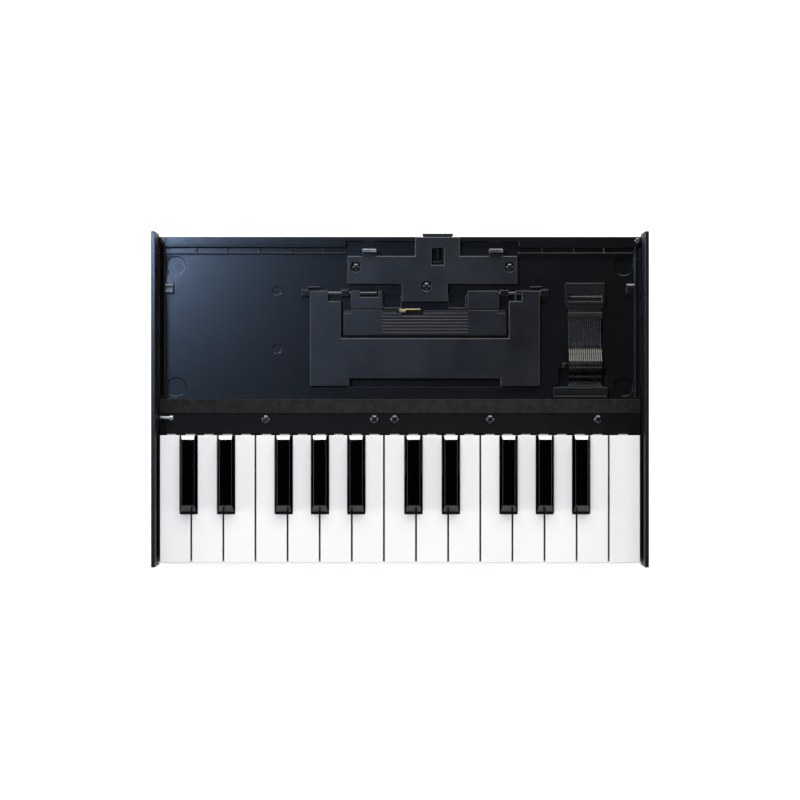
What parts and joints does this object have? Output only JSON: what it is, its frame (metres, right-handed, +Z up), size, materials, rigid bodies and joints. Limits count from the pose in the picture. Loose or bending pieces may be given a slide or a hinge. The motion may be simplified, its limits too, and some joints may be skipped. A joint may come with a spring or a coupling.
{
  "type": "synthesizer",
  "caption": "Slim-key musical keyboard dock with an open module bay behind the keys, a folding tilt stand, a sprung module latch and a ribbon lead.",
  "frame": {"origin": "centre of the bounding box's base, on the surface the rubber feet stand on", "axes": "+X to the player's right along the keys, +Y to the rear, +Z up"},
  "size_m": [0.308, 0.2082, 0.042],
  "materials": {
    "case_black": "fine-grained black moulding",
    "stand_grey": "satin dark grey moulding",
    "panel_steel": "black powder-coated steel",
    "key_white": "glossy white moulding",
    "key_black": "polished black moulding",
    "felt_grey": "dark grey felt",
    "strip_black": "matt black moulding",
    "chassis_grey": "plain grey moulding",
    "stop_felt": "dark red felt",
    "contact_rubber": "grey silicone rubber",
    "board_green": "green solder resist",
    "black_steel": "black zinc-plated steel",
    "bright_steel": "bright spring steel",
    "spring_brass": "drawn brass wire",
    "ribbon_grey": "grey ribbed ribbon insulation",
    "connector_black": "black connector moulding",
    "foot_rubber": "black rubber"
  },
  "bodies": {
    "base": {"left_side_panel": "panel_steel", "right_side_panel": "panel_steel", "tray": "case_black", "bottom_cover": "case_black", "foot_1": "foot_rubber", "foot_2": "foot_rubber", "foot_3": "foot_rubber", "foot_4": "foot_rubber", "key_frame": "chassis_grey", "key_tail_cover": "strip_black", "rest_felt": "felt_grey", "front_stop_felt": "stop_felt", "rear_stop_felt": "stop_felt", "lift_stop_felt": "stop_felt", "contact_strip": "contact_rubber", "contact_board": "board_green", "strip_screw_1": "black_steel", "strip_screw_2": "black_steel", "strip_screw_3": "black_steel", "strip_screw_4": "black_steel", "strip_screw_5": "black_steel", "cover_screw_1": "black_steel", "cover_screw_2": "black_steel", "cover_screw_3": "black_steel", "latch_cover": "stand_grey", "hinge_pin_left": "black_steel", "hinge_pin_right": "black_steel", "latch_spring": "bright_steel", "ribbon_cable": "ribbon_grey", "board_header": "connector_black", "ribbon_plug": "connector_black"},
    "white_key_01": {"white_key_01": "key_white"},
    "white_key_02": {"white_key_02": "key_white"},
    "white_key_03": {"white_key_03": "key_white"},
    "white_key_04": {"white_key_04": "key_white"},
    "white_key_05": {"white_key_05": "key_white"},
    "white_key_06": {"white_key_06": "key_white"},
    "white_key_07": {"white_key_07": "key_white"},
    "white_key_08": {"white_key_08": "key_white"},
    "white_key_09": {"white_key_09": "key_white"},
    "white_key_10": {"white_key_10": "key_white"},
    "white_key_11": {"white_key_11": "key_white"},
    "white_key_12": {"white_key_12": "key_white"},
    "white_key_13": {"white_key_13": "key_white"},
    "white_key_14": {"white_key_14": "key_white"},
    "white_key_15": {"white_key_15": "key_white"},
    "black_key_01": {"black_key_01": "key_black"},
    "black_key_02": {"black_key_02": "key_black"},
    "black_key_03": {"black_key_03": "key_black"},
    "black_key_04": {"black_key_04": "key_black"},
    "black_key_05": {"black_key_05": "key_black"},
    "black_key_06": {"black_key_06": "key_black"},
    "black_key_07": {"black_key_07": "key_black"},
    "black_key_08": {"black_key_08": "key_black"},
    "black_key_09": {"black_key_09": "key_black"},
    "black_key_10": {"black_key_10": "key_black"},
    "tilt_frame": {"tilt_frame": "stand_grey"},
    "tilt_prop": {"tilt_prop": "stand_grey", "prop_spring": "spring_brass"},
    "latch_slider": {"latch_slider": "stand_grey"}
  },
  "joints": [
    {"name": "white_key_01_press", "type": "hinge", "parent": "base", "child": "white_key_01", "pos_m": [-0.14, -0.018, 0.0086], "axis": [1, 0, 0], "range_deg": [0, 3.4], "stiffness_Nm_per_rad": 0.3, "springref_deg": -8.59},
    {"name": "white_key_02_press", "type": "hinge", "parent": "base", "child": "white_key_02", "pos_m": [-0.12, -0.018, 0.0086], "axis": [1, 0, 0], "range_deg": [0, 3.4], "stiffness_Nm_per_rad": 0.3, "springref_deg": -8.59},
    {"name": "white_key_03_press", "type": "hinge", "parent": "base", "child": "white_key_03", "pos_m": [-0.1, -0.018, 0.0086], "axis": [1, 0, 0], "range_deg": [0, 3.4], "stiffness_Nm_per_rad": 0.3, "springref_deg": -8.59},
    {"name": "white_key_04_press", "type": "hinge", "parent": "base", "child": "white_key_04", "pos_m": [-0.08, -0.018, 0.0086], "axis": [1, 0, 0], "range_deg": [0, 3.4], "stiffness_Nm_per_rad": 0.3, "springref_deg": -8.59},
    {"name": "white_key_05_press", "type": "hinge", "parent": "base", "child": "white_key_05", "pos_m": [-0.06, -0.018, 0.0086], "axis": [1, 0, 0], "range_deg": [0, 3.4], "stiffness_Nm_per_rad": 0.3, "springref_deg": -8.59},
    {"name": "white_key_06_press", "type": "hinge", "parent": "base", "child": "white_key_06", "pos_m": [-0.04, -0.018, 0.0086], "axis": [1, 0, 0], "range_deg": [0, 3.4], "stiffness_Nm_per_rad": 0.3, "springref_deg": -8.59},
    {"name": "white_key_07_press", "type": "hinge", "parent": "base", "child": "white_key_07", "pos_m": [-0.02, -0.018, 0.0086], "axis": [1, 0, 0], "range_deg": [0, 3.4], "stiffness_Nm_per_rad": 0.3, "springref_deg": -8.59},
    {"name": "white_key_08_press", "type": "hinge", "parent": "base", "child": "white_key_08", "pos_m": [0, -0.018, 0.0086], "axis": [1, 0, 0], "range_deg": [0, 3.4], "stiffness_Nm_per_rad": 0.3, "springref_deg": -8.59},
    {"name": "white_key_09_press", "type": "hinge", "parent": "base", "child": "white_key_09", "pos_m": [0.02, -0.018, 0.0086], "axis": [1, 0, 0], "range_deg": [0, 3.4], "stiffness_Nm_per_rad": 0.3, "springref_deg": -8.59},
    {"name": "white_key_10_press", "type": "hinge", "parent": "base", "child": "white_key_10", "pos_m": [0.04, -0.018, 0.0086], "axis": [1, 0, 0], "range_deg": [0, 3.4], "stiffness_Nm_per_rad": 0.3, "springref_deg": -8.59},
    {"name": "white_key_11_press", "type": "hinge", "parent": "base", "child": "white_key_11", "pos_m": [0.06, -0.018, 0.0086], "axis": [1, 0, 0], "range_deg": [0, 3.4], "stiffness_Nm_per_rad": 0.3, "springref_deg": -8.59},
    {"name": "white_key_12_press", "type": "hinge", "parent": "base", "child": "white_key_12", "pos_m": [0.08, -0.018, 0.0086], "axis": [1, 0, 0], "range_deg": [0, 3.4], "stiffness_Nm_per_rad": 0.3, "springref_deg": -8.59},
    {"name": "white_key_13_press", "type": "hinge", "parent": "base", "child": "white_key_13", "pos_m": [0.1, -0.018, 0.0086], "axis": [1, 0, 0], "range_deg": [0, 3.4], "stiffness_Nm_per_rad": 0.3, "springref_deg": -8.59},
    {"name": "white_key_14_press", "type": "hinge", "parent": "base", "child": "white_key_14", "pos_m": [0.12, -0.018, 0.0086], "axis": [1, 0, 0], "range_deg": [0, 3.4], "stiffness_Nm_per_rad": 0.3, "springref_deg": -8.59},
    {"name": "white_key_15_press", "type": "hinge", "parent": "base", "child": "white_key_15", "pos_m": [0.14, -0.018, 0.0086], "axis": [1, 0, 0], "range_deg": [0, 3.4], "stiffness_Nm_per_rad": 0.3, "springref_deg": -8.59},
    {"name": "black_key_01_press", "type": "hinge", "parent": "base", "child": "black_key_01", "pos_m": [-0.1316, -0.018, 0.0086], "axis": [1, 0, 0], "range_deg": [0, 3.4], "stiffness_Nm_per_rad": 0.3, "springref_deg": -8.59},
    {"name": "black_key_02_press", "type": "hinge", "parent": "base", "child": "black_key_02", "pos_m": [-0.1083, -0.018, 0.0086], "axis": [1, 0, 0], "range_deg": [0, 3.4], "stiffness_Nm_per_rad": 0.3, "springref_deg": -8.59},
    {"name": "black_key_03_press", "type": "hinge", "parent": "base", "child": "black_key_03", "pos_m": [-0.0724, -0.018, 0.0086], "axis": [1, 0, 0], "range_deg": [0, 3.4], "stiffness_Nm_per_rad": 0.3, "springref_deg": -8.59},
    {"name": "black_key_04_press", "type": "hinge", "parent": "base", "child": "black_key_04", "pos_m": [-0.0498, -0.018, 0.0086], "axis": [1, 0, 0], "range_deg": [0, 3.4], "stiffness_Nm_per_rad": 0.3, "springref_deg": -8.59},
    {"name": "black_key_05_press", "type": "hinge", "parent": "base", "child": "black_key_05", "pos_m": [-0.0272, -0.018, 0.0086], "axis": [1, 0, 0], "range_deg": [0, 3.4], "stiffness_Nm_per_rad": 0.3, "springref_deg": -8.59},
    {"name": "black_key_06_press", "type": "hinge", "parent": "base", "child": "black_key_06", "pos_m": [0.0084, -0.018, 0.0086], "axis": [1, 0, 0], "range_deg": [0, 3.4], "stiffness_Nm_per_rad": 0.3, "springref_deg": -8.59},
    {"name": "black_key_07_press", "type": "hinge", "parent": "base", "child": "black_key_07", "pos_m": [0.0317, -0.018, 0.0086], "axis": [1, 0, 0], "range_deg": [0, 3.4], "stiffness_Nm_per_rad": 0.3, "springref_deg": -8.59},
    {"name": "black_key_08_press", "type": "hinge", "parent": "base", "child": "black_key_08", "pos_m": [0.0676, -0.018, 0.0086], "axis": [1, 0, 0], "range_deg": [0, 3.4], "stiffness_Nm_per_rad": 0.3, "springref_deg": -8.59},
    {"name": "black_key_09_press", "type": "hinge", "parent": "base", "child": "black_key_09", "pos_m": [0.0902, -0.018, 0.0086], "axis": [1, 0, 0], "range_deg": [0, 3.4], "stiffness_Nm_per_rad": 0.3, "springref_deg": -8.59},
    {"name": "black_key_10_press", "type": "hinge", "parent": "base", "child": "black_key_10", "pos_m": [0.1128, -0.018, 0.0086], "axis": [1, 0, 0], "range_deg": [0, 3.4], "stiffness_Nm_per_rad": 0.3, "springref_deg": -8.59},
    {"name": "tilt_frame_fold", "type": "hinge", "parent": "base", "child": "tilt_frame", "pos_m": [0.0156, 0.0667, 0.0112], "axis": [-1, 0, 0], "range_deg": [0, 112]},
    {"name": "tilt_prop_fold", "type": "hinge", "parent": "base", "child": "tilt_prop", "pos_m": [0.0156, 0.0667, 0.0112], "axis": [-1, 0, 0], "range_deg": [0, 112], "stiffness_Nm_per_rad": 0.004, "springref_deg": -28.65},
    {"name": "latch_release", "type": "slide", "parent": "base", "child": "latch_slider", "axis": [0, -1, 0], "range_m": [0, 0.0018], "stiffness_N_per_m": 600, "springref_m": -0.003, "deforming": ["latch_spring"]}
  ]
}
